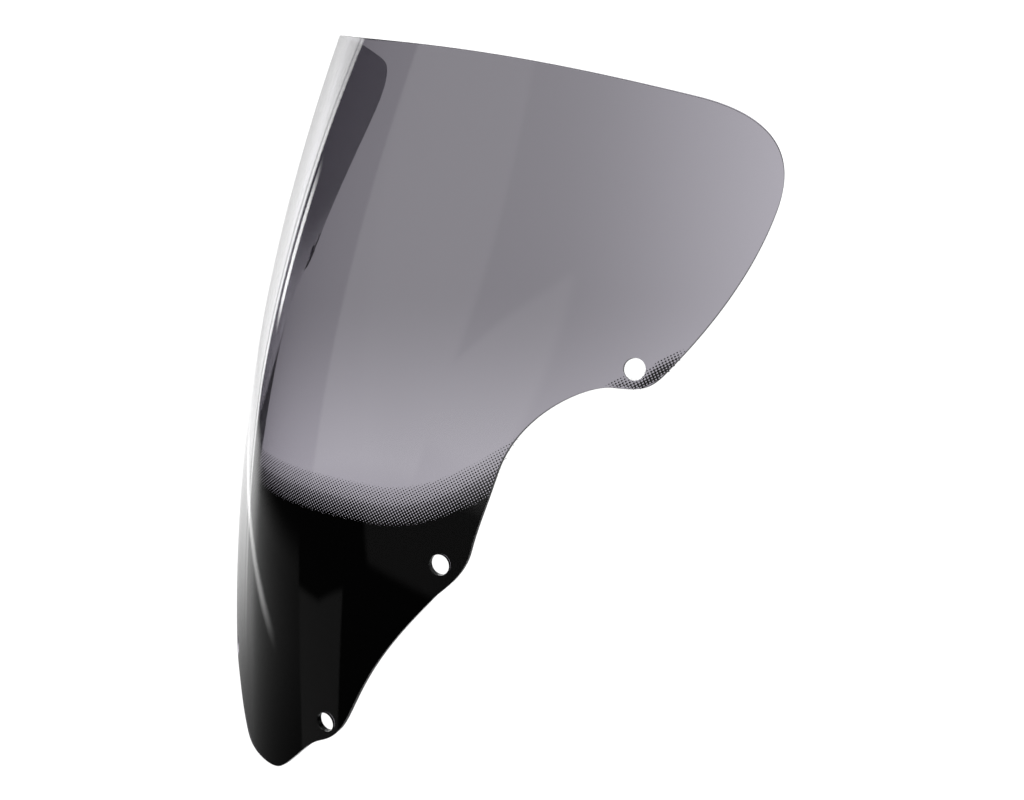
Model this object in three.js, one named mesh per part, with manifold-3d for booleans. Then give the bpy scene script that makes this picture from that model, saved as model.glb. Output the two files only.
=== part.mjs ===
// Motorcycle windshield screen: one thermoformed acrylic sheet, black print on its inner face,
// six mounting holes. Millimetres. -Y is forward, +Z is up and +X is the rider's left.
// The origin is the nose tip on the outer face.
import * as THREE from "three";
import { mergeVertices } from "three/addons/utils/BufferGeometryUtils.js";
import Module from "manifold-3d";

const wasm = await Module();
wasm.setup();

// Driving dimensions
const SHEET = 3; // acrylic thickness
const HEIGHT = 368.5; // nose tip to the top of the trailing edge
const RAKE = 0.05; // how fast the centreline leans back at the nose
const RAKE_CURL = 0.25; // how much more it leans back higher up
const RAKE_LIFT = 0.08; // how much it straightens again near the top
const RAKE_LENGTH = 400; // height over which the three values above are measured
const BOW_RADIUS = 68; // half-width of the rounded bow either side of the centreline
const SWEEP_LOW = 0.65; // slope of the flanks at the nose
const SWEEP_HIGH = 0.7; // slope they gain by RAKE_LENGTH
const HOLE_RADIUS = 5;
const SEAT_RADIUS = 10; // flat spot face under each fastener's washer
const SEAT_DEPTH = 0.3;
const PRINT_GAP = 0.3; // room between the sheet and the print's skin
const PRINT = 0.2; // print skin thickness
const PRINT_FULL = 149; // height of the solid print's upper edge at the centre
const PRINT_FADE = 19.5; // height of the halftone band above it
const CELL_X = 10; // facet size across
const CELL_Z = 18; // facet size up
const CURVE_STEPS = 7; // points on each curve of the cut edge

const HOLES = [
  { name: "upper", x: 155.5, z: 233 },
  { name: "middle", x: 100.5, z: 136.5 },
  { name: "lower", x: 49.5, z: 41 },
];

// The +X half of the cut edge in front view, as cubic curves from the top centre to the nose tip.
function halfOutline() {
  const edge = new THREE.Path();
  edge.moveTo(0, HEIGHT);
  edge.bezierCurveTo(49.5, HEIGHT, 83, 362.5, 137.5, 347); // trailing edge
  edge.bezierCurveTo(165, 339.5, 178, 322, 179.5, 300); // rear corner
  edge.bezierCurveTo(181.5, 276.5, 176.5, 254, 167, 233.5); // rear edge
  edge.bezierCurveTo(163.5, 225, 160.5, 224, 150.5, 224.5); // wing tip under the upper hole
  edge.bezierCurveTo(140.5, 225, 120, 210, 117, 183); // notch below the wing
  edge.bezierCurveTo(115.5, 165.5, 113.5, 158, 112.5, 144); // waist
  edge.bezierCurveTo(111.5, 132, 101.5, 122.5, 101, 121.5); // ear under the middle hole
  edge.bezierCurveTo(85.5, 98, 76, 84, 65.5, 56.5); // nose flank
  edge.bezierCurveTo(60.5, 43.5, 57.5, 35.5, 48, 30.5); // ear under the lower hole
  edge.bezierCurveTo(37.5, 25, 37.5, 20.5, 20, 4.5); // run down to the nose
  edge.bezierCurveTo(16.5, 2, 13, 0, 0, 0); // nose tip
  return edge;
}

// How far back the outer face lies at (x, z).
function depthAt(x, z) {
  const t = z / RAKE_LENGTH;
  const centre = RAKE_LENGTH * (RAKE * t + RAKE_CURL * t ** 3 - RAKE_LIFT * t ** 4);
  const sweep = SWEEP_LOW + SWEEP_HIGH * t * t;
  return centre + sweep * (Math.hypot(x, BOW_RADIUS) - BOW_RADIUS);
}

// Unit normal of the outer face at (x, z), pointing to the inner side.
function inwardAt(x, z) {
  const h = 0.01;
  const slopeX = (depthAt(x + h, z) - depthAt(x - h, z)) / (2 * h);
  const slopeZ = (depthAt(x, z + h) - depthAt(x, z - h)) / (2 * h);
  return new THREE.Vector3(-slopeX, 1, -slopeZ).normalize();
}

// The point that lies `inside` millimetres behind the outer face at (x, z).
function pointAt(x, z, inside) {
  return new THREE.Vector3(x, depthAt(x, z), z).addScaledVector(inwardAt(x, z), inside);
}

function geometryOf(points, triangles) {
  const positions = new Float32Array(points.flatMap((p) => [p.x, p.y, p.z]));
  const geometry = new THREE.BufferGeometry();
  geometry.setAttribute("position", new THREE.BufferAttribute(positions, 3));
  geometry.setIndex(triangles);
  return geometry;
}

function solidOf(geometry) {
  const bare = geometry.clone();
  bare.deleteAttribute("normal");
  bare.deleteAttribute("uv");
  const merged = mergeVertices(bare, 1e-4);
  const mesh = new wasm.Mesh({
    numProp: 3,
    vertProperties: new Float32Array(merged.attributes.position.array),
    triVerts: new Uint32Array(merged.index.array),
  });
  return new wasm.Manifold(mesh);
}

function geometryFrom(solid) {
  const mesh = solid.getMesh();
  const geometry = new THREE.BufferGeometry();
  geometry.setAttribute("position", new THREE.BufferAttribute(mesh.vertProperties, 3));
  geometry.setIndex(new THREE.BufferAttribute(mesh.triVerts, 1));
  geometry.computeVertexNormals();
  return geometry;
}

// A formed sheet between two depths behind the outer face, larger than the finished screen.
function formedSheet(near, far, xMax, zMin, zMax) {
  const columns = 2 * Math.ceil(xMax / CELL_X);
  const rows = Math.ceil((zMax - zMin) / CELL_Z);
  const points = [];
  for (const inside of [near, far]) {
    for (let j = 0; j <= rows; j++) {
      for (let i = 0; i <= columns; i++) {
        const x = xMax * ((2 * i) / columns - 1);
        const z = zMin + ((zMax - zMin) * j) / rows;
        points.push(pointAt(x, z, inside));
      }
    }
  }
  const wide = columns + 1;
  const layer = wide * (rows + 1);
  const triangles = [];
  const quad = (a, b, c, d) => triangles.push(a, b, c, a, c, d);
  for (let j = 0; j < rows; j++) {
    for (let i = 0; i < columns; i++) {
      const a = j * wide + i;
      quad(a, a + 1, a + 1 + wide, a + wide);
      quad(layer + a, layer + a + wide, layer + a + 1 + wide, layer + a + 1);
    }
  }
  for (let i = 0; i < columns; i++) {
    const top = rows * wide + i;
    quad(i + 1, i, layer + i, layer + i + 1);
    quad(top, top + 1, layer + top + 1, layer + top);
  }
  for (let j = 0; j < rows; j++) {
    const left = j * wide;
    const right = left + columns;
    quad(left, left + wide, layer + left + wide, layer + left);
    quad(right + wide, right, layer + right, layer + right + wide);
  }
  return solidOf(geometryOf(points, triangles));
}

// A cutter whose wall crosses the sheet square to its surface all along a closed front-view outline.
function trimCutter(outline) {
  const reach = 6;
  const rings = [-reach, SHEET + reach].map((inside) => outline.map((p) => pointAt(p.x, p.y, inside)));
  const front = rings[0].map((p) => new THREE.Vector3(p.x, -60, p.z));
  const back = rings[1].map((p) => new THREE.Vector3(p.x, 320, p.z));
  const stack = [front, rings[0], rings[1], back];
  const count = outline.length;
  const triangles = [];
  for (let ring = 0; ring < stack.length - 1; ring++) {
    for (let i = 0; i < count; i++) {
      const next = (i + 1) % count;
      const low = ring * count;
      const high = low + count;
      triangles.push(low + i, high + next, low + next, low + i, high + i, high + next);
    }
  }
  const flat = (ring) => ring.map((p) => new THREE.Vector2(p.x, p.z));
  for (const [a, b, c] of THREE.ShapeUtils.triangulateShape(flat(front), [])) {
    triangles.push(a, b, c);
  }
  const last = count * (stack.length - 1);
  for (const [a, b, c] of THREE.ShapeUtils.triangulateShape(flat(back), [])) {
    triangles.push(last + c, last + b, last + a);
  }
  return solidOf(geometryOf(stack.flat(), triangles));
}

// The whole outline, anticlockwise in front view (X right, Z up).
function wholeOutline() {
  const half = halfOutline().getPoints(CURVE_STEPS);
  const mirrored = half.slice(1, -1).map((p) => new THREE.Vector2(-p.x, p.y));
  return [...mirrored, ...half.reverse()];
}

// A cylinder that stands square on the sheet at (x, z) and spans the depths `near` to `far`.
function drill(x, z, radius, near, far) {
  const geometry = new THREE.CylinderGeometry(radius, radius, far - near, 32);
  const inward = inwardAt(x, z);
  const turn = new THREE.Quaternion().setFromUnitVectors(new THREE.Vector3(0, 1, 0), inward);
  const middle = pointAt(x, z, (near + far) / 2);
  geometry.applyMatrix4(new THREE.Matrix4().compose(middle, turn, new THREE.Vector3(1, 1, 1)));
  return solidOf(geometry);
}

// A straight-sided block over a front-view region.
function regionBlock(points) {
  const geometry = new THREE.ExtrudeGeometry(new THREE.Shape(points), { depth: 400, bevelEnabled: false });
  geometry.rotateX(Math.PI / 2);
  geometry.translate(0, 330, 0);
  return solidOf(geometry);
}

// Height of a print line: level across the middle, rising towards the ears.
function printLine(height, rise, x) {
  const out = Math.max(0, Math.abs(x) - 66);
  return height + rise * out * out;
}

const fullLine = (x) => printLine(PRINT_FULL, 0.009, x);
const fadeLine = (x) => printLine(PRINT_FULL + PRINT_FADE, 0.0105, x);

// Front-view region between two heights that vary with x.
function band(lower, upper) {
  const xs = Array.from({ length: 53 }, (_, i) => 5 * i - 130);
  const along = (height) => xs.map((x) => new THREE.Vector2(x, height(x)));
  return [...along(lower), ...along(upper).reverse()];
}

const trim = trimCutter(wholeOutline());
let shell = formedSheet(0, SHEET, 192, -9, HEIGHT + 10).intersect(trim);
let skin = formedSheet(SHEET + PRINT_GAP, SHEET + PRINT_GAP + PRINT, 192, -9, 260).intersect(trim);
for (const side of [-1, 1]) {
  for (const { x, z } of HOLES) {
    const hole = drill(side * x, z, HOLE_RADIUS, -4, SHEET + 4);
    shell = shell.subtract(drill(side * x, z, SEAT_RADIUS, -4, SEAT_DEPTH)).subtract(hole);
    skin = skin.subtract(hole);
  }
}

// Corner of the wing tip below a rising line, where the halftone shows again.
function wingCorner(side) {
  const line = [
    [143, 215],
    [150.5, 225.3],
    [158.5, 229.3],
    [164, 233.5],
    [168.5, 238.5],
    [174, 246],
    [176, 215],
  ];
  return line.map(([x, z]) => new THREE.Vector2(side * x, z));
}

const clearAcrylic = new THREE.MeshStandardMaterial({
  color: 0x6f6c76,
  roughness: 0.05,
  metalness: 0,
  transparent: true,
  opacity: 0.55,
});
const blackPrint = new THREE.MeshStandardMaterial({ color: 0x060607, roughness: 0.25, metalness: 0 });
const halftonePrint = new THREE.MeshStandardMaterial({
  color: 0x2c2b30,
  roughness: 0.3,
  metalness: 0,
  transparent: true,
  opacity: 0.7,
});

const screen = new THREE.Group();
function addPiece(name, solid, material) {
  const mesh = new THREE.Mesh(geometryFrom(solid), material);
  mesh.name = name;
  screen.add(mesh);
}

addPiece("screen_shell", shell, clearAcrylic);
const below = band(() => -20, fullLine);
const fade = band((x) => fullLine(x) + PRINT_GAP, fadeLine);
addPiece("print_field", skin.intersect(regionBlock(below)), blackPrint);
addPiece("print_fade", skin.intersect(regionBlock(fade)), halftonePrint);
addPiece("tip_fade_left", skin.intersect(regionBlock(wingCorner(1))), halftonePrint);
addPiece("tip_fade_right", skin.intersect(regionBlock(wingCorner(-1))), halftonePrint);

export default screen;
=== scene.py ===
"""Motorcycle windshield screen: a thermoformed smoke acrylic bubble with a black nose print that
fades out in a halftone. Metres, in the CAD frame: -Y is forward, +Z up, +X the rider's left."""

import math

import bpy
import numpy as np
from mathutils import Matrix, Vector
from mathutils.geometry import delaunay_2d_cdt


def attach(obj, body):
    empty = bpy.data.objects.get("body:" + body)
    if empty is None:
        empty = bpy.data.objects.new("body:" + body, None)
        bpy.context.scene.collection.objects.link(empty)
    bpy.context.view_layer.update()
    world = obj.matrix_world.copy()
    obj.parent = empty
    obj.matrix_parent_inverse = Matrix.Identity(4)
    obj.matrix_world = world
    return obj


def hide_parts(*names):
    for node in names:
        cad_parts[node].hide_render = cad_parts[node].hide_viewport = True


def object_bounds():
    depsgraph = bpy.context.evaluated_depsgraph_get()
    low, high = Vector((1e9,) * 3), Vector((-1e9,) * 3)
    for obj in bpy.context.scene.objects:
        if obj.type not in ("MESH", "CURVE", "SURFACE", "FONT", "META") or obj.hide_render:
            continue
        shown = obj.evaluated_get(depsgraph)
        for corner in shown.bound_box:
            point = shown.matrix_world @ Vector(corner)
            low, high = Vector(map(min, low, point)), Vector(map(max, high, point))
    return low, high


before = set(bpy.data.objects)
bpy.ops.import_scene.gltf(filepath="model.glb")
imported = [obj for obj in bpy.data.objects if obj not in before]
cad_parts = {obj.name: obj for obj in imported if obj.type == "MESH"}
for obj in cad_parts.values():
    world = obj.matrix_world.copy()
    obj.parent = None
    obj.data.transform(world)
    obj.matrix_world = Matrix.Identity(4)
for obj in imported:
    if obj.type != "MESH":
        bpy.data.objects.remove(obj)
cad_low, cad_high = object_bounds()

# The sheet's driving dimensions, as in the CAD model
SHEET = 0.003
RAKE, RAKE_CURL, RAKE_LIFT, RAKE_LENGTH = 0.05, 0.25, 0.08, 0.400
BOW_RADIUS = 0.068
SWEEP_LOW, SWEEP_HIGH = 0.65, 0.7
HOLE_RADIUS = 0.005
HOLES = [(0.1555, 0.233), (0.1005, 0.1365), (0.0495, 0.041)]
PRINT_FULL, PRINT_FADE = 0.149, 0.0195
PRINT_LEVEL_HALF = 0.066
PRINT_RISE, FADE_RISE = 9.0, 10.5

# Detail that only the looks need
PRINT_HALF_WIDTH = 0.130
FADE_HEIGHTS = (0.14, 0.21)
EDGE_ROUND = 0.0003
HOLE_ROUND = 0.0002
EDGE_STEP = 0.0018
FACE_STEP, INK_STEP = 0.003, 0.004
CURVE_STEPS, HOLE_STEPS, ROUND_STEPS = 60, 40, 4
EDGE_CLEARANCE = 0.45
SAME_POINT = 1e-7
INK_INSET = 0.0001
INK_FRONT, INK_BACK = SHEET - 0.00005, SHEET + 0.0001
FIELD_THICKER = 0.00001
DOT_PITCH = 0.00136
DOT_ANGLE = math.radians(37)
ARC_STEPS = 3
HALVINGS = 24
DOT_MARGIN = 0.0006
DOT_GONE = 1.93

# The +X half of the cut edge in front view (x, z): cubic curves from the top centre to the nose tip
HALF_OUTLINE = [
    [(0, 0.3685), (0.0495, 0.3685), (0.083, 0.3625), (0.1375, 0.347)],
    [(0.1375, 0.347), (0.165, 0.3395), (0.178, 0.322), (0.1795, 0.300)],
    [(0.1795, 0.300), (0.1815, 0.2765), (0.1765, 0.254), (0.167, 0.2335)],
    [(0.167, 0.2335), (0.1635, 0.225), (0.1605, 0.224), (0.1505, 0.2245)],
    [(0.1505, 0.2245), (0.1405, 0.225), (0.120, 0.210), (0.117, 0.183)],
    [(0.117, 0.183), (0.1155, 0.1655), (0.1135, 0.158), (0.1125, 0.144)],
    [(0.1125, 0.144), (0.1115, 0.132), (0.1015, 0.1225), (0.101, 0.1215)],
    [(0.101, 0.1215), (0.0855, 0.098), (0.076, 0.084), (0.0655, 0.0565)],
    [(0.0655, 0.0565), (0.0605, 0.0435), (0.0575, 0.0355), (0.048, 0.0305)],
    [(0.048, 0.0305), (0.0375, 0.025), (0.0375, 0.0205), (0.020, 0.0045)],
    [(0.020, 0.0045), (0.0165, 0.002), (0.013, 0), (0, 0)],
]


# ---------------------------------------------------------------- the formed surface


def depth_at(x, z):
    """The y of the sheet's outer face: a raked centre line, and a bow that deepens towards the top."""
    t = z / RAKE_LENGTH
    centre = RAKE_LENGTH * (RAKE * t + RAKE_CURL * t**3 - RAKE_LIFT * t**4)
    sweep = SWEEP_LOW + SWEEP_HIGH * t * t
    return centre + sweep * (np.hypot(x, BOW_RADIUS) - BOW_RADIUS)


def slopes_at(x, z):
    """How fast the outer face's y grows with x and with z."""
    t = z / RAKE_LENGTH
    reach = np.hypot(x, BOW_RADIUS)
    across = (SWEEP_LOW + SWEEP_HIGH * t * t) * x / reach
    up = RAKE + 3 * RAKE_CURL * t**2 - 4 * RAKE_LIFT * t**3
    return across, up + 2 * SWEEP_HIGH * t / RAKE_LENGTH * (reach - BOW_RADIUS)


def inward_at(x, z):
    """The unit normal that points into the sheet from its outer face."""
    across, up = slopes_at(x, z)
    normal = np.stack([-across, np.ones_like(across), -up], axis=-1)
    return normal / np.linalg.norm(normal, axis=-1, keepdims=True)


def point_at(x, z, inside):
    """Points a given distance inside the outer face."""
    return np.stack([x, depth_at(x, z), z], axis=-1) + inside * inward_at(x, z)


# ---------------------------------------------------------------- outlines in front view


def bezier(controls, steps):
    """Points along a cubic curve, without its last point."""
    a, b, c, d = (np.array(p, float) for p in controls)
    t = np.linspace(0, 1, steps, endpoint=False)[:, None]
    return a * (1 - t) ** 3 + 3 * b * t * (1 - t) ** 2 + 3 * c * t * t * (1 - t) + d * t**3


def evenly(loop, step):
    """A closed loop resampled at one step along the formed surface."""
    closed = np.vstack([loop, loop[:1]])
    places = point_at(closed[:, 0], closed[:, 1], 0.0)
    run = np.concatenate([[0], np.cumsum(np.linalg.norm(np.diff(places, axis=0), axis=1))])
    count = int(round(run[-1] / step))
    wanted = np.linspace(0, run[-1], count, endpoint=False)
    return np.stack([np.interp(wanted, run, closed[:, i]) for i in range(2)], axis=-1)


def cut_edge():
    """The whole sheet's cut edge as an even closed loop in front view, slightly smoothed."""
    half = np.vstack([bezier(c, CURVE_STEPS) for c in HALF_OUTLINE] + [[HALF_OUTLINE[-1][-1]]])
    mirrored = half[1:-1] * [-1, 1]
    loop = evenly(np.vstack([mirrored, half[::-1]]), EDGE_STEP)
    return (np.roll(loop, 1, axis=0) + 2 * loop + np.roll(loop, -1, axis=0)) / 4


def hole_edge(x, z, radius):
    """Front-view loop whose points lie one radius from the hole's centre along the surface."""
    across, up = slopes_at(x, z)
    right = np.array([1, across, 0]) / math.hypot(1, across)
    upward = np.cross(right, inward_at(np.array(x), np.array(z)))
    upward *= np.sign(upward[2])
    turn = np.linspace(0, 2 * math.pi, HOLE_STEPS, endpoint=False)[:, None]
    ring = radius * (np.cos(turn) * right + np.sin(turn) * upward)
    return np.array([x, z]) + ring[:, [0, 2]]


def into_sheet(loop, centre_is_open):
    """Unit directions along the surface from the cut edge into the material."""
    places = point_at(loop[:, 0], loop[:, 1], 0.0)
    along = np.roll(places, -1, axis=0) - np.roll(places, 1, axis=0)
    side = np.cross(along, inward_at(loop[:, 0], loop[:, 1]))
    side /= np.linalg.norm(side, axis=1, keepdims=True)
    towards_middle = loop.mean(axis=0) - loop
    flat = side[:, [0, 2]]
    inwards = np.sign((flat * towards_middle).sum())
    return side * (-inwards if centre_is_open else inwards)


def shifted(loop, side, distance):
    """A front-view loop moved into the sheet."""
    return loop + distance * side[:, [0, 2]]


def inside_loop(points, loop):
    """True for the front-view points that a closed loop goes round."""
    x, z = points[:, 0][:, None], points[:, 1][:, None]
    x0, z0 = loop[:, 0], loop[:, 1]
    x1, z1 = np.roll(x0, -1), np.roll(z0, -1)
    crosses = (z0 > z) != (z1 > z)
    rise = np.where(z1 == z0, 1e-12, z1 - z0)
    at = x0 + (z - z0) * (x1 - x0) / rise
    return (crosses & (x < at)).sum(axis=1) % 2 == 1


def clear_of(points, loops, gap):
    """True for the points that lie further than a gap from every loop."""
    edges = np.vstack(loops)
    far = np.ones(len(points), bool)
    for start in range(0, len(points), 2000):
        block = points[start : start + 2000]
        near = np.linalg.norm(block[:, None] - edges[None], axis=2).min(axis=1)
        far[start : start + 2000] = near > gap
    return far


def filled(outer, holes, step, lines=()):
    """Points and triangles that fill a front-view outline round its holes. Extra lines stay edges."""
    low, high = outer.min(axis=0), outer.max(axis=0)
    xs = np.arange(low[0], high[0], step)
    zs = np.arange(low[1], high[1], step)
    grid = np.stack(np.meshgrid(xs, zs), axis=-1).reshape(-1, 2)
    grid[:, 0] += np.where(np.arange(len(grid)) // len(xs) % 2, step / 2, 0)
    grid = grid[inside_loop(grid, outer)]
    for hole in holes:
        grid = grid[~inside_loop(grid, hole)]
    grid = grid[clear_of(grid, [outer, *holes, *lines], EDGE_CLEARANCE * step)]
    points, edges = [], []
    chains = [(outer, True)] + [(hole, True) for hole in holes] + [(line, False) for line in lines]
    for loop, closed in chains:
        start = len(points)
        points += [Vector(p) for p in loop]
        count = len(loop)
        last = count if closed else count - 1
        edges += [(start + i, start + (i + 1) % count) for i in range(last)]
    points += [Vector(p) for p in grid]
    made = delaunay_2d_cdt(points, edges, [], 0, SAME_POINT)
    at = np.array([tuple(p) for p in made[0]])
    triangles = np.array([tuple(t) for t in made[2] if len(t) == 3])
    middle = at[triangles].mean(axis=1)
    keep = inside_loop(middle, outer)
    for hole in holes:
        keep &= ~inside_loop(middle, hole)
    triangles = triangles[keep]
    a, b, c = (at[triangles[:, i]] for i in range(3))
    turn = (b - a)[:, 0] * (c - a)[:, 1] - (b - a)[:, 1] * (c - a)[:, 0]
    triangles[turn < 0] = triangles[turn < 0][:, ::-1]
    return at, triangles


# ---------------------------------------------------------------- meshes


def piece(name, points, faces, normals, materials, face_materials=None):
    """A smooth-shaded object made from points, faces and the points' own normals."""
    mesh = bpy.data.meshes.new(name)
    mesh.from_pydata(np.asarray(points).tolist(), [], [list(map(int, f)) for f in faces])
    for material in materials:
        mesh.materials.append(material)
    if face_materials is not None:
        mesh.polygons.foreach_set("material_index", np.asarray(face_materials, np.int32))
    mesh.polygons.foreach_set("use_smooth", [True] * len(mesh.polygons))
    mesh.normals_split_custom_set_from_vertices(np.asarray(normals).tolist())
    mesh.update()
    made = bpy.data.objects.new(name, mesh)
    bpy.context.scene.collection.objects.link(made)
    return made


def join_points(points, triangles):
    """Merges points that coincide and drops triangles that collapse."""
    keys = np.round(points / SAME_POINT).astype(np.int64)
    _, first, same = np.unique(keys, axis=0, return_index=True, return_inverse=True)
    triangles = same.reshape(-1)[triangles]
    a, b, c = triangles.T
    return points[first], triangles[(a != b) & (b != c) & (a != c)]


def boundary(triangles):
    """The directed edges that only one triangle has."""
    edges = np.vstack([triangles[:, [0, 1]], triangles[:, [1, 2]], triangles[:, [2, 0]]])
    ordered = np.sort(edges, axis=1)
    _, index, count = np.unique(ordered, axis=0, return_inverse=True, return_counts=True)
    return edges[count[index.reshape(-1)] == 1]


def ink_layer(name, flat, triangles, materials, front=INK_FRONT, back=INK_BACK):
    """A thin closed layer of ink. Its front face lies just within the sheet, with no air between."""
    x, z = flat[:, 0], flat[:, 1]
    inward = inward_at(x, z)
    count = len(flat)
    points = np.vstack([point_at(x, z, front), point_at(x, z, back)])
    rim = boundary(triangles)
    walls = np.stack([rim[:, 1], rim[:, 0], rim[:, 0] + count, rim[:, 1] + count], axis=1)
    faces = [*triangles, *(triangles[:, ::-1] + count), *walls]
    slots = [0] * len(triangles) + [1] * (len(triangles) + len(walls))
    return piece(name, points, faces, np.vstack([-inward, inward]), materials, slots)


def edge_profile(round_radius):
    """(inset, depth, lean) across the cut edge: lean 0 faces out, 1 faces sideways, 2 faces in."""
    steps = [math.pi / 2 * i / ROUND_STEPS for i in range(ROUND_STEPS + 1)]
    outer = [(round_radius * (1 - math.sin(a)), round_radius * (1 - math.cos(a)), a) for a in steps]
    wall = [(0, SHEET * share, math.pi / 2) for share in (0.35, 0.65)]
    inner = [(inset, SHEET - depth, math.pi - a) for inset, depth, a in reversed(outer)]
    return outer + wall + inner


def shell_mesh(outline, holes):
    """The whole sheet: two faces and rounded cut edges, with a share and a run along each edge."""
    loops = [(outline, into_sheet(outline, False), EDGE_ROUND)]
    loops += [(h, into_sheet(h, True), HOLE_ROUND) for h in holes]
    inset = [shifted(loop, side, r) for loop, side, r in loops]
    flat, triangles = filled(inset[0], inset[1:], FACE_STEP)
    inward = inward_at(flat[:, 0], flat[:, 1])
    count = len(flat)
    points = [point_at(flat[:, 0], flat[:, 1], 0.0), point_at(flat[:, 0], flat[:, 1], SHEET)]
    normals = [-inward, inward]
    faces = [*triangles, *(triangles[:, ::-1] + count)]
    on_edge, run = [np.zeros(2 * count)], [np.zeros(2 * count)]
    total, first = 2 * count, 0
    for loop, side, radius in loops:
        profile = edge_profile(radius)
        n = len(loop)
        rings = [np.arange(first, first + n)]
        for inset_by, depth, lean in profile[1:-1]:
            at = shifted(loop, side, inset_by)
            inwards = inward_at(at[:, 0], at[:, 1])
            points.append(point_at(at[:, 0], at[:, 1], depth))
            normals.append(-inwards * math.cos(lean) - side * math.sin(lean))
            on_edge.append(np.ones(n))
            run.append(np.arange(n) * EDGE_STEP)
            rings.append(np.arange(total, total + n))
            total += n
        rings.append(np.arange(first, first + n) + count)
        first += n
        for a, b in zip(rings, rings[1:]):
            faces += list(np.stack([a, np.roll(a, -1), np.roll(b, -1), b], axis=1))
    return np.vstack(points), faces, np.vstack(normals), np.concatenate(on_edge), np.concatenate(run)


def facing_out(points, faces, normals):
    """The faces, each turned so that it faces the way that its points' normals do."""
    turned = []
    for face in faces:
        a, b, c = points[face[0]], points[face[1]], points[face[2]]
        across = np.cross(b - a, c - a)
        turned.append(list(face) if across @ normals[list(face)].sum(axis=0) > 0 else list(face)[::-1])
    return turned


# ---------------------------------------------------------------- halftone


def print_line(height, rise, x):
    """A line of the print: level in the middle, and rising towards the sides."""
    return height + rise * np.maximum(0, np.abs(x) - PRINT_LEVEL_HALF) ** 2


def full_line(x):
    """Below this height the print is solid."""
    return print_line(PRINT_FULL, PRINT_RISE, x)


def fade_line(x):
    """Above this height there is no print."""
    return print_line(PRINT_FULL + PRINT_FADE, FADE_RISE, x)


def dot_radius(threshold, angle):
    """How far from a cell's corner, along an angle, cos(2 pi a) + cos(2 pi b) falls to a threshold."""
    low, high = np.zeros_like(threshold), np.full_like(threshold, 0.5)
    for _ in range(HALVINGS):
        middle = (low + high) / 2
        spot = np.cos(2 * math.pi * middle * math.cos(angle))
        spot += np.cos(2 * math.pi * middle * math.sin(angle))
        low = np.where(spot > threshold, middle, low)
        high = np.where(spot > threshold, high, middle)
    return (low + high) / 2


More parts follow.
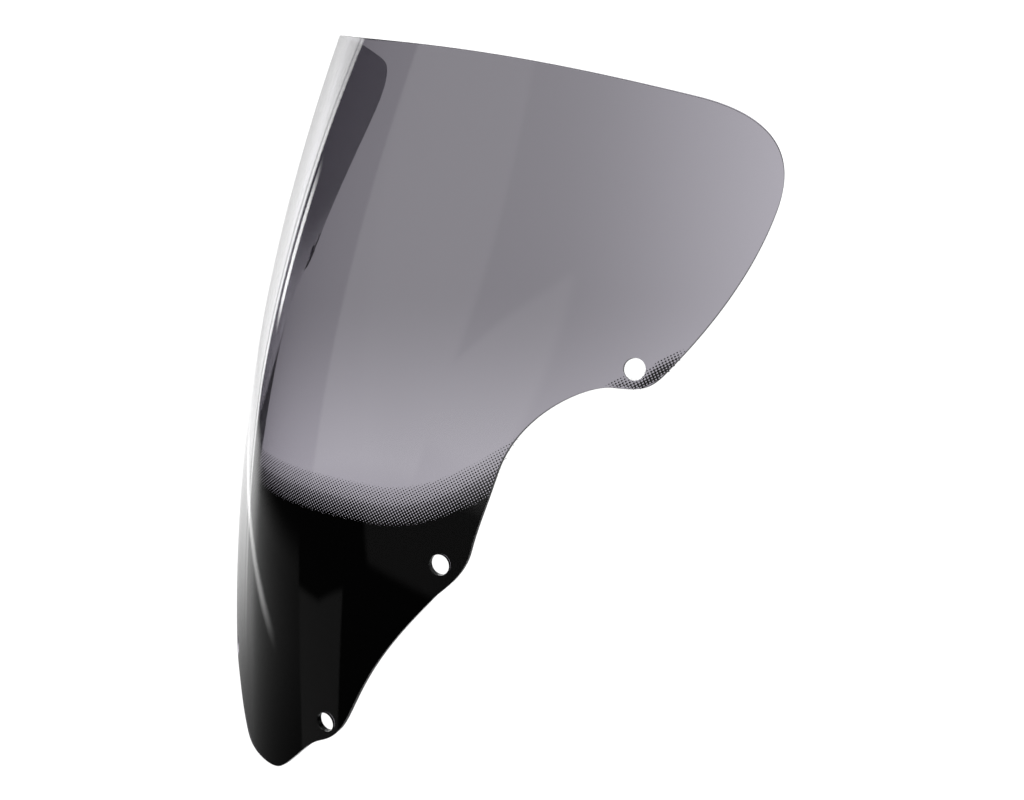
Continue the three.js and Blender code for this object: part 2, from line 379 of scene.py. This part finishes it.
def halftone(level, x_range, z_range, keep):
    """Points and triangles of a halftone, where level(x, z) runs from 0, solid, to 1, clear."""
    z_middle = sum(z_range) / 2
    xs = np.linspace(x_range[0], x_range[1], 600)
    across, up = slopes_at(xs, np.full_like(xs, z_middle))
    stretch = np.hypot(1, across)
    steps = (stretch[1:] + stretch[:-1]) / 2 * np.diff(xs)
    run = np.concatenate([[0], np.cumsum(steps)])
    run -= np.interp(0, xs, run) if x_range[0] < 0 < x_range[1] else 0
    lift = float(np.hypot(1, up).mean())

    def to_sheet(cells):
        cos, sin = math.cos(DOT_ANGLE) * DOT_PITCH, math.sin(DOT_ANGLE) * DOT_PITCH
        s = cells[..., 0] * cos - cells[..., 1] * sin
        w = cells[..., 0] * sin + cells[..., 1] * cos
        return np.stack([np.interp(s, run, xs), z_middle + w / lift], axis=-1)

    def threshold(cells):
        at = to_sheet(cells)
        tone = 2 * np.clip(level(at[..., 0], at[..., 1]), 0, 1) - 1
        # nearly even steps in the middle, and solid or clear only at the very ends
        return 1.25 * tone + 0.75 * tone**9

    # more cells than the two ranges can hold
    reach = int(max(abs(run[0]), abs(run[-1]), 0.05) / DOT_PITCH * 1.1) + 20
    i, j = np.meshgrid(np.arange(-reach, reach), np.arange(-reach, reach))
    corners = np.stack([i, j], axis=-1).reshape(-1, 2).astype(float)
    centres = corners + 0.5
    at = to_sheet(centres)
    s_run = centres[:, 0] * math.cos(DOT_ANGLE) - centres[:, 1] * math.sin(DOT_ANGLE)
    s_run *= DOT_PITCH
    within = (at[:, 1] > z_range[0]) & (at[:, 1] < z_range[1])
    within &= (s_run > run[0]) & (s_run < run[-1])
    corners, centres, at = corners[within], centres[within], at[within]
    at_level = level(at[:, 0], at[:, 1])
    # cells just below the full line stay, so that the halftone meets the solid print
    wanted = (at_level > -0.03) & (at_level < 1.0) & keep(at)
    corners, centres = corners[wanted], centres[wanted]

    arcs = [math.pi / 2 * k / ARC_STEPS for k in range(ARC_STEPS + 1)]
    at_centre = threshold(centres)
    holed = at_centre < 0
    points, triangles, total = [], [], 0
    for sx, sz in [(0, 0), (1, 0), (1, 1), (0, 1)]:
        corner = corners + [sx, sz]
        into = np.array([1 - 2 * sx, 1 - 2 * sz])
        own = np.clip(threshold(corner), 0, 2)
        # a dark cell is solid round a clear hole, and a light one has a quarter of a dot at each corner
        kinds = [
            (holed, centres, -into, -at_centre),
            (~holed & (own < DOT_GONE), corner, into, own),
        ]
        for group, origin, way, level_of in kinds:
            if not group.any():
                continue
            centre, tip, value = origin[group], corner[group], level_of[group]
            arc = [
                centre + dot_radius(value, a)[:, None] * np.array([math.cos(a), math.sin(a)]) * way
                for a in arcs
            ]
            fan = [tip, *arc]
            if group is holed:
                fan = [
                    tip,
                    np.stack([tip[:, 0], centre[:, 1]], axis=-1),
                    *arc,
                    np.stack([centre[:, 0], tip[:, 1]], axis=-1),
                ]
            count = len(tip)
            points += fan
            index = [total + k * count + np.arange(count) for k in range(len(fan))]
            total += count * len(fan)
            for a, b in zip(index[1:], index[2:]):
                triangles.append(np.stack([index[0], a, b], axis=1))
    flat = to_sheet(np.vstack(points))
    flat, triangles = join_points(flat, np.vstack(triangles))
    a, b, c = (flat[triangles[:, k]] for k in range(3))
    turn = (b - a)[:, 0] * (c - a)[:, 1] - (b - a)[:, 1] * (c - a)[:, 0]
    triangles = triangles[np.abs(turn) > 1e-13]
    turn = turn[np.abs(turn) > 1e-13]
    triangles[turn < 0] = triangles[turn < 0][:, ::-1]
    return flat, triangles


# ---------------------------------------------------------------- materials


class Nodes:
    """Short calls for building a node tree."""

    def __init__(self, tree):
        self.tree = tree
        tree.nodes.clear()

    def node(self, kind, inputs=None, **settings):
        made = self.tree.nodes.new(kind)
        for name, value in settings.items():
            setattr(made, name, value)
        for name, value in (inputs or {}).items():
            self.put(made.inputs[name], value)
        return made

    def put(self, socket, value):
        if isinstance(value, bpy.types.NodeSocket):
            self.tree.links.new(value, socket)
        else:
            socket.default_value = value

    def math(self, operation, a, b=0.0, clamp=False):
        made = self.node("ShaderNodeMath", operation=operation, use_clamp=clamp)
        self.put(made.inputs[0], a)
        self.put(made.inputs[1], b)
        return made.outputs[0]

    def ramp(self, value, low, high, start=0.0, end=1.0):
        """Smooth step of a value from low to high."""
        made = self.node("ShaderNodeMapRange", interpolation_type="SMOOTHSTEP")
        for index, number in enumerate((value, low, high, start, end)):
            self.put(made.inputs[index], number)
        return made.outputs[0]

    def above(self, value, edge, soft):
        """1 above an edge and 0 below it, with a soft step."""
        return self.ramp(value, edge - soft, edge + soft)

    def below(self, value, edge, soft):
        """1 below an edge and 0 above it, with a soft step."""
        return self.ramp(value, edge - soft, edge + soft, 1.0, 0.0)

    def leaning(self, value, other, lean):
        """A value less a share of another, to compare with an edge that leans."""
        return self.math("SUBTRACT", value, self.math("MULTIPLY", other, lean))

    def times(self, *factors):
        product = factors[0]
        for factor in factors[1:]:
            product = self.math("MULTIPLY", product, factor)
        return product

    def total(self, *terms):
        made = terms[0]
        for term in terms[1:]:
            made = self.math("ADD", made, term)
        return made

    def mix(self, factor, a, b):
        made = self.node("ShaderNodeMix", data_type="RGBA")
        self.put(made.inputs["Factor"], factor)
        self.put(made.inputs[6], a)
        self.put(made.inputs[7], b)
        return made.outputs[2]

    def noise(self, vector, scale, detail=2.0, roughness=0.5):
        inputs = {"Vector": vector, "Scale": scale, "Detail": detail, "Roughness": roughness}
        return self.node("ShaderNodeTexNoise", inputs).outputs["Fac"]

    def bump(self, height, strength, distance, normal=None):
        inputs = {"Height": height, "Strength": strength, "Distance": distance}
        made = self.node("ShaderNodeBump", inputs)
        if normal is not None:
            self.put(made.inputs["Normal"], normal)
        return made.outputs[0]


def new_material(name):
    material = bpy.data.materials.new(name)
    material.use_nodes = True
    return material, Nodes(material.node_tree)


def smoke_acrylic():
    """Tinted right through: light is absorbed along its way in the sheet. Faint forming waves on the
    faces, and fine cutter marks across the edges."""
    material, n = new_material("smoke_acrylic")
    place = n.node("ShaderNodeTexCoord").outputs["Object"]
    cloud = n.noise(place, 9.0, 3.0)
    colour = n.mix(cloud, (0.955, 0.95, 0.96, 1), (1.0, 1.0, 1.0, 1))
    waves = n.bump(n.noise(place, 14.0, 1.0), 0.12, 0.0004)
    run = n.node("ShaderNodeAttribute", attribute_name="edge_run").outputs["Fac"]
    on_edge = n.node("ShaderNodeAttribute", attribute_name="on_edge").outputs["Fac"]
    inputs = {"W": run, "Scale": 1800.0, "Detail": 3.0}
    cuts = n.node("ShaderNodeTexNoise", inputs, noise_dimensions="1D")
    height = n.math("MULTIPLY", cuts.outputs["Fac"], on_edge)
    marks = n.bump(height, 0.35, 0.00008, waves)
    glass = n.node(
        "ShaderNodeBsdfPrincipled",
        {
            "Base Color": colour,
            "Roughness": 0.02,
            "IOR": 1.49,
            "Transmission Weight": 1.0,
            "Normal": marks,
        },
    )
    tint = n.node("ShaderNodeVolumeAbsorption", {"Color": (0.04, 0.0, 0.104, 1), "Density": 340.0})
    output = n.node("ShaderNodeOutputMaterial")
    n.put(output.inputs["Surface"], glass.outputs[0])
    n.put(output.inputs["Volume"], tint.outputs[0])
    return material


def ink_through_sheet():
    """The ink's front face, wet by the acrylic: deep black, with no shine of its own."""
    material, n = new_material("ink_front")
    place = n.node("ShaderNodeTexCoord").outputs["Object"]
    dark, light = (0.0008, 0.0008, 0.0009, 1), (0.0016, 0.0016, 0.0018, 1)
    colour = n.mix(n.noise(place, 60.0, 3.0), dark, light)
    inputs = {"Base Color": colour, "Roughness": 0.9, "Specular IOR Level": 0.0}
    ink = n.node("ShaderNodeBsdfPrincipled", inputs)
    n.put(n.node("ShaderNodeOutputMaterial").inputs["Surface"], ink.outputs[0])
    return material


def ink_bare():
    """The ink's bare inner face: satin black with the weave of the printing screen."""
    material, n = new_material("ink_back")
    place = n.node("ShaderNodeTexCoord").outputs["Object"]
    patches = n.noise(place, 22.0, 4.0)
    colour = n.mix(patches, (0.010, 0.010, 0.011, 1), (0.020, 0.020, 0.021, 1))
    rough = n.ramp(patches, 0.3, 0.7, 0.38, 0.5)
    weave = None
    for axis in ("X", "Z"):
        inputs = {"Vector": place, "Scale": 260.0, "Distortion": 0.4}
        wave = n.node("ShaderNodeTexWave", inputs, bands_direction=axis, wave_type="BANDS")
        weave = wave.outputs["Fac"] if weave is None else n.math("ADD", weave, wave.outputs["Fac"])
    grain = n.math("ADD", weave, n.noise(place, 900.0, 2.0))
    inputs = {"Base Color": colour, "Roughness": rough, "Normal": n.bump(grain, 0.25, 0.00004)}
    ink = n.node("ShaderNodeBsdfPrincipled", inputs)
    n.put(n.node("ShaderNodeOutputMaterial").inputs["Surface"], ink.outputs[0])
    return material


# ---------------------------------------------------------------- the screen

outline = cut_edge()
hole_loops = [hole_edge(side * x, z, HOLE_RADIUS) for side in (1, -1) for x, z in HOLES]

points, faces, normals, on_edge, run = shell_mesh(outline, hole_loops)
faces = facing_out(points, faces, normals)
shell = piece("screen_sheet", points, faces, normals, [smoke_acrylic()])
for name, values in [("on_edge", on_edge), ("edge_run", run)]:
    attribute = shell.data.attributes.new(name, "FLOAT", "POINT")
    attribute.data.foreach_set("value", values.astype(np.float32))
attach(shell, "root")
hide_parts("screen_shell")

inks = [ink_through_sheet(), ink_bare()]
ink_outline = shifted(outline, into_sheet(outline, False), INK_INSET)
ink_holes = [shifted(h, into_sheet(h, True), INK_INSET) for h in hole_loops]


def inked_field():
    """The solid print: everything on the nose below the full line."""
    xs = np.linspace(-0.14, 0.14, 141)
    line = np.stack([xs, full_line(xs)], axis=-1)
    line = line[inside_loop(line, ink_outline)]
    # both ends run on, so that they cross the sheet's edge
    ends = [line[0] - (INK_STEP, 0), line[-1] + (INK_STEP, 0)]
    line = np.vstack([ends[:1], line, ends[1:]])
    low_holes = [h for h in ink_holes if h[:, 1].mean() < PRINT_FULL]
    flat, triangles = filled(ink_outline, low_holes, INK_STEP, [line])
    middle = flat[triangles].mean(axis=1)
    inked = (middle[:, 1] < full_line(middle[:, 0])) & (np.abs(middle[:, 0]) < PRINT_HALF_WIDTH)
    triangles = triangles[inked]
    used = np.unique(triangles)
    number = np.zeros(len(flat), int)
    number[used] = np.arange(len(used))
    return flat[used], number[triangles]


field_depths = INK_FRONT - FIELD_THICKER, INK_BACK + FIELD_THICKER
field = ink_layer("nose_print", *inked_field(), inks, *field_depths)
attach(field, "root")
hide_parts("print_field")


def on_sheet(at):
    """True for the halftone cells that lie on the sheet, clear of its edge and outside its holes."""
    kept = inside_loop(at, ink_outline)
    kept &= clear_of(at, [ink_outline], DOT_MARGIN)
    for hole in ink_holes:
        kept &= ~inside_loop(at, hole)
    return kept


def fade_level(x, z):
    """0 at the full line and 1 at the fade line."""
    low, high = full_line(x), fade_line(x)
    return (z - low) / (high - low)


fade_reach = (-PRINT_HALF_WIDTH, PRINT_HALF_WIDTH)
dots = halftone(fade_level, fade_reach, FADE_HEIGHTS, on_sheet)
fade = ink_layer("print_halftone", *dots, inks)
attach(fade, "root")
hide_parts("print_fade")

# The wing tips' halftone starts along a line that rises towards the rear edge, and grows below it.
TIP_LINE_X = [0.1430, 0.1490, 0.1525, 0.1570, 0.1600, 0.1622, 0.1645, 0.1670, 0.1705, 0.1740]
TIP_LINE_Z = [0.2205, 0.2280, 0.2302, 0.2308, 0.2340, 0.2380, 0.2403, 0.2420, 0.2435, 0.2450]
TIP_DEPTH = 0.0085
TIP_DARKEST = 0.15
TIP_FROM, TIP_TO = 0.140, 0.180
TIP_HEIGHTS = (0.215, 0.250)


def tip_level(x, z):
    """1 at the tip's line, and falling below it as far as the darkest halftone."""
    top = np.interp(np.abs(x), TIP_LINE_X, TIP_LINE_Z)
    return np.maximum(1 - (top - z) / TIP_DEPTH, TIP_DARKEST)


for side, name in [(1, "left"), (-1, "right")]:
    tip_reach = tuple(sorted((side * TIP_FROM, side * TIP_TO)))
    dots = halftone(tip_level, tip_reach, TIP_HEIGHTS, on_sheet)
    tip = ink_layer("tip_halftone_" + name, *dots, inks)
    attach(tip, "root")
    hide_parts("tip_fade_" + name)


# ---------------------------------------------------------------- floor and camera

CAMERA_AZIMUTH, CAMERA_ELEVATION = 53.796, 18.381
CAMERA_DISTANCE, CAMERA_ASIDE, CAMERA_RAISED = 0.7257, 0.0577, -0.0023
CAMERA_LENS = 48.31
CAMERA_CLIP = 0.01, 100
FLOOR_DROP, FLOOR_RADIUS, FLOOR_SIDES = 0.40, 4, 96


def add_camera():
    """The photograph's own camera, found by fitting the outline and the holes."""
    a, e = math.radians(CAMERA_AZIMUTH), math.radians(CAMERA_ELEVATION)
    back = Vector((math.sin(a) * math.cos(e), -math.cos(a) * math.cos(e), math.sin(e)))
    right = Vector((math.cos(a), math.sin(a), 0))
    up = back.cross(right)
    data = bpy.data.cameras.new("camera")
    data.lens = CAMERA_LENS
    data.clip_start, data.clip_end = CAMERA_CLIP
    camera = bpy.data.objects.new("camera", data)
    centre = (cad_low + cad_high) / 2
    camera.location = centre + back * CAMERA_DISTANCE + right * CAMERA_ASIDE + up * CAMERA_RAISED
    camera.rotation_mode = "QUATERNION"
    camera.rotation_quaternion = (-back).to_track_quat("-Z", "Y")
    bpy.context.scene.collection.objects.link(camera)
    bpy.context.scene.camera = camera


def add_floor():
    """White paper well below the screen, hidden from reflections and from what shows through."""
    material, n = new_material("floor_paper")
    place = n.node("ShaderNodeTexCoord").outputs["Object"]
    colour = n.mix(n.noise(place, 3.0, 3.0), (0.90, 0.90, 0.90, 1), (0.94, 0.94, 0.94, 1))
    paper = n.node("ShaderNodeBsdfPrincipled", {"Base Color": colour, "Roughness": 0.9})
    paper.inputs["Specular IOR Level"].default_value = 0.0
    n.put(n.node("ShaderNodeOutputMaterial").inputs["Surface"], paper.outputs[0])
    low = cad_low.z - FLOOR_DROP
    turns = [2 * math.pi * k / FLOOR_SIDES for k in range(FLOOR_SIDES)]
    ring = [(FLOOR_RADIUS * math.cos(t), FLOOR_RADIUS * math.sin(t), low) for t in turns]
    mesh = bpy.data.meshes.new("floor")
    mesh.from_pydata(ring, [], [list(range(FLOOR_SIDES))])
    mesh.materials.append(material)
    floor = bpy.data.objects.new("floor", mesh)
    bpy.context.scene.collection.objects.link(floor)
    floor.visible_glossy = False
    floor.visible_transmission = False


# ---------------------------------------------------------------- the room around the screen

# Azimuth and elevation are the degrees of the way that a ray leaves in. Azimuth is 0 straight ahead of
# the screen (-Y), and grows towards +X. An edge is a pair: its angle, and half the width that it fades
# over. A lean is how many degrees of azimuth an edge moves in one degree of elevation. A fade is where
# it starts, where it ends, and the levels at the two.
STUDIO_WHITE = (1.2, 1.2, 1.2, 1)
DARK_ROOM = 0.02

WALL_END, WALL_FOOT, WALL_EDGE = (-121, 1), (-19, 9), (-74.5, 1.2)
WALL_LEAN, WALL_LEAN_FROM = 0.9, -11.5
WALL_DARK_END, WALL_SPAN = 112.0, 47.0
WALL_POWER, WALL_RISE, WALL_LEVEL = 1.7, 6.4, 1.0
WALL_FADE = (6, 22, 1.0, 0.65)
SEAM_START, SEAM_END, SEAM_DEPTH = (-79.2, 0.5), (-77.4, 0.5), 0.4
STRIP_START, STRIP_END, STRIP_LEVEL = (-71.2, 0.6), (-67.6, 0.6), 7.0
STRIP_BOTTOM, STRIP_TOP = (-4, 2), (9, 3)
CORNER_END, CORNER_TOP, CORNER_LEVEL = (-74, 8), (-13.5, 1), 1.3

TABLE_END, TABLE_TOP, TABLE_FADE = (-28, 0.7), (-15, 2), (-31, -20, 0.25, 1.0)
GLOW_FROM, GLOW_REACH, GLOW_MOST, GLOW_LEVEL = 80.0, 22.0, 0.8, 0.8
LINE_SLOPE, LINE_DROP, LINE_WIDTH, LINE_LEVEL = -0.1, 27.7, (0.55, 0.5), 1.6
LINE_START, LINE_END = (-98, 8), (-54, 10)
NEAR_START, NEAR_END, NEAR_LEAN = (-28, 0.7), (-4.3, 0.4), 0.37
NEAR_TOP, NEAR_LEVEL = (-17.7, 0.5), 0.13
NEAR_BEND, NEAR_SLOPE = 18.5, 0.25

BOX_START, BOX_LEAN, BOX_END, BOX_LEVEL = (-18.1, 1.2), 0.45, (150, 10), 0.9
BOX_FOOT_SLOPE, BOX_FOOT, BOX_FOOT_HIGHEST, BOX_FOOT_EDGE = 0.22, 3.2, -1.0, (0, 1.5)
DIM_START, DIM_LEAN, DIM_FADE = (7.6, 0.4), 0.607, (12, 38, 0.55, 0.35)
CARD_TOP, CARD_TOP_LEAN = (3.3, 0.35), 1.0
CARD_END, CARD_END_LEAN, CARD_BOTTOM = (14.0, 0.35), 0.583, (2, 2)
PATCH_START, PATCH_END, PATCH_BOTTOM, PATCH_LEVEL = (-3.5, 0.7), (60, 5), (-12, 0.7), 0.10
BEHIND_FADE = (-135, -129, 0.28, 1.2)

PAPER_START, PAPER_SOFT, PAPER_RISE = 0.05, 0.09, 6.7
PAPER_LOW_FADE, PAPER_FAR_FADE = (-23, -13.5, 0.95, 0.0), (-0.13, -0.08, 1.15, 1.0)
PAPER_MOST, PAPER_LEVEL = 2.2, 0.6


def left_wall(n, azimuth, elevation):
    """The wall at the picture's left: brightest along its leaning edge, dimmer high up and low down."""
    lean_from = n.math("MAXIMUM", elevation, WALL_LEAN_FROM)
    slant = n.leaning(azimuth, lean_from, WALL_LEAN)
    nearness = n.math("DIVIDE", n.math("ADD", azimuth, WALL_DARK_END), WALL_SPAN, clamp=True)
    wall = n.math("MULTIPLY", n.math("POWER", nearness, WALL_POWER), WALL_RISE)
    wall = n.math("ADD", wall, WALL_LEVEL)
    seam = n.times(n.above(slant, *SEAM_START), n.below(slant, *SEAM_END), SEAM_DEPTH)
    wall = n.times(wall, n.below(slant, *WALL_EDGE), n.math("SUBTRACT", 1.0, seam))
    # a narrow strip of the same white beyond the edge
    strip = n.times(n.above(slant, *STRIP_START), n.below(slant, *STRIP_END), STRIP_LEVEL)
    strip = n.times(strip, n.above(elevation, *STRIP_BOTTOM), n.below(elevation, *STRIP_TOP))
    # a dimmer corner beyond the edge, low down
    corner = n.times(n.below(azimuth, *CORNER_END), n.above(slant, *WALL_EDGE))
    corner = n.times(corner, n.below(elevation, *CORNER_TOP), CORNER_LEVEL)
    wall = n.times(n.total(wall, strip, corner), n.above(azimuth, *WALL_END))
    return n.times(wall, n.above(elevation, *WALL_FOOT), n.ramp(elevation, *WALL_FADE))


def table_below(n, azimuth, elevation):
    """The table under the screen: its glow, its bright far edge, and its near part."""
    glow = n.math("EXPONENT", n.math("DIVIDE", n.math("ADD", azimuth, GLOW_FROM), -GLOW_REACH))
    glow = n.times(n.math("MINIMUM", glow, GLOW_MOST), n.below(azimuth, *TABLE_END))
    glow = n.times(glow, n.above(azimuth, *WALL_END), GLOW_LEVEL)
    glow = n.times(glow, n.below(elevation, *TABLE_TOP), n.ramp(elevation, *TABLE_FADE))
    # the bright line along its far edge
    line_at = n.math("SUBTRACT", n.math("MULTIPLY", azimuth, LINE_SLOPE), LINE_DROP)
    off_line = n.math("ABSOLUTE", n.math("SUBTRACT", elevation, line_at))
    line = n.times(n.below(off_line, *LINE_WIDTH), n.above(azimuth, *LINE_START))
    line = n.times(line, n.below(azimuth, *LINE_END), LINE_LEVEL)
    # its near part, whose upper edge bends down
    bend = n.math("MAXIMUM", n.math("ADD", azimuth, NEAR_BEND), 0.0)
    over_top = n.leaning(elevation, bend, NEAR_SLOPE)
    near = n.times(n.above(azimuth, *NEAR_START), n.below(over_top, *NEAR_TOP), NEAR_LEVEL)
    near = n.times(near, n.below(n.leaning(azimuth, elevation, NEAR_LEAN), *NEAR_END))
    return n.total(glow, line, near)


def soft_box(n, azimuth, elevation):
    """The soft box ahead and above. A part of it is dimmer, but for a card at that part's foot."""
    foot = n.math("SUBTRACT", n.math("MULTIPLY", azimuth, BOX_FOOT_SLOPE), BOX_FOOT)
    over_foot = n.math("SUBTRACT", elevation, n.math("MINIMUM", foot, BOX_FOOT_HIGHEST))
    lit = n.times(n.above(over_foot, *BOX_FOOT_EDGE), n.below(azimuth, *BOX_END))
    box = n.times(lit, n.above(n.leaning(azimuth, elevation, BOX_LEAN), *BOX_START), BOX_LEVEL)
    card = n.above(n.leaning(azimuth, elevation, CARD_TOP_LEAN), *CARD_TOP)
    card = n.times(card, n.below(n.leaning(azimuth, elevation, CARD_END_LEAN), *CARD_END))
    card = n.times(card, n.above(elevation, *CARD_BOTTOM))
    dim = n.times(lit, n.above(n.leaning(azimuth, elevation, DIM_LEAN), *DIM_START))
    dim = n.times(dim, n.ramp(elevation, *DIM_FADE), n.math("SUBTRACT", 1.0, card))
    return n.math("SUBTRACT", box, dim)


def mirrored_room(n, azimuth, elevation):
    """What the screen's faces reflect: a dark room, with everything in it that is lit."""
    behind = n.times(n.below(azimuth, *WALL_END), n.ramp(azimuth, *BEHIND_FADE))
    # a faint patch of light under the soft box
    patch = n.times(n.above(azimuth, *PATCH_START), n.below(azimuth, *PATCH_END))
    patch = n.times(patch, n.above(elevation, *PATCH_BOTTOM), PATCH_LEVEL)
    wall = left_wall(n, azimuth, elevation)
    table = table_below(n, azimuth, elevation)
    box = soft_box(n, azimuth, elevation)
    return n.total(wall, table, behind, box, patch, DARK_ROOM)


def paper_sweep(n, way, elevation):
    """What shows through the acrylic: white paper, brighter low down and towards the camera's right."""
    a = math.radians(CAMERA_AZIMUTH)
    rightwards = n.node("ShaderNodeVectorMath", operation="DOT_PRODUCT")
    n.put(rightwards.inputs[0], way)
    rightwards.inputs[1].default_value = (math.cos(a), math.sin(a), 0)
    right = rightwards.outputs["Value"]
    beyond = n.node("ShaderNodeMath", operation="SMOOTH_MAX")
    past_start = n.math("SUBTRACT", right, PAPER_START)
    for socket, value in zip(beyond.inputs, (past_start, 0.0, PAPER_SOFT)):
        n.put(socket, value)
    sideways = n.math("MULTIPLY", beyond.outputs[0], PAPER_RISE)
    downwards = n.times(n.ramp(elevation, *PAPER_LOW_FADE), n.ramp(right, *PAPER_FAR_FADE))
    paper = n.total(1.0, sideways, downwards)
    return n.math("MULTIPLY", n.math("MINIMUM", paper, PAPER_MOST), PAPER_LEVEL)


def add_world():
    """The studio. The camera and the floor see plain white, and reflections see the room. What shows
    through the acrylic is the paper sweep."""
    world = bpy.data.worlds.new("studio")
    world.use_nodes = True
    bpy.context.scene.world = world
    n = Nodes(world.node_tree)
    way = n.node("ShaderNodeTexCoord").outputs["Generated"]
    axes = n.node("ShaderNodeSeparateXYZ", {"Vector": way}).outputs
    forward = n.math("MULTIPLY", axes[1], -1.0)
    azimuth = n.math("MULTIPLY", n.math("ARCTAN2", axes[0], forward), math.degrees(1))
    elevation = n.math("MULTIPLY", n.math("ARCSINE", axes[2]), math.degrees(1))
    path = n.node("ShaderNodeLightPath").outputs
    seen = n.mix(path["Is Glossy Ray"], STUDIO_WHITE, mirrored_room(n, azimuth, elevation))
    seen = n.mix(path["Is Transmission Ray"], seen, paper_sweep(n, way, elevation))
    background = n.node("ShaderNodeBackground", {"Color": seen, "Strength": 1.0})
    n.put(n.node("ShaderNodeOutputWorld").inputs["Surface"], background.outputs[0])


add_camera()
add_floor()
add_world()
bpy.context.scene.view_settings.view_transform = "Standard"
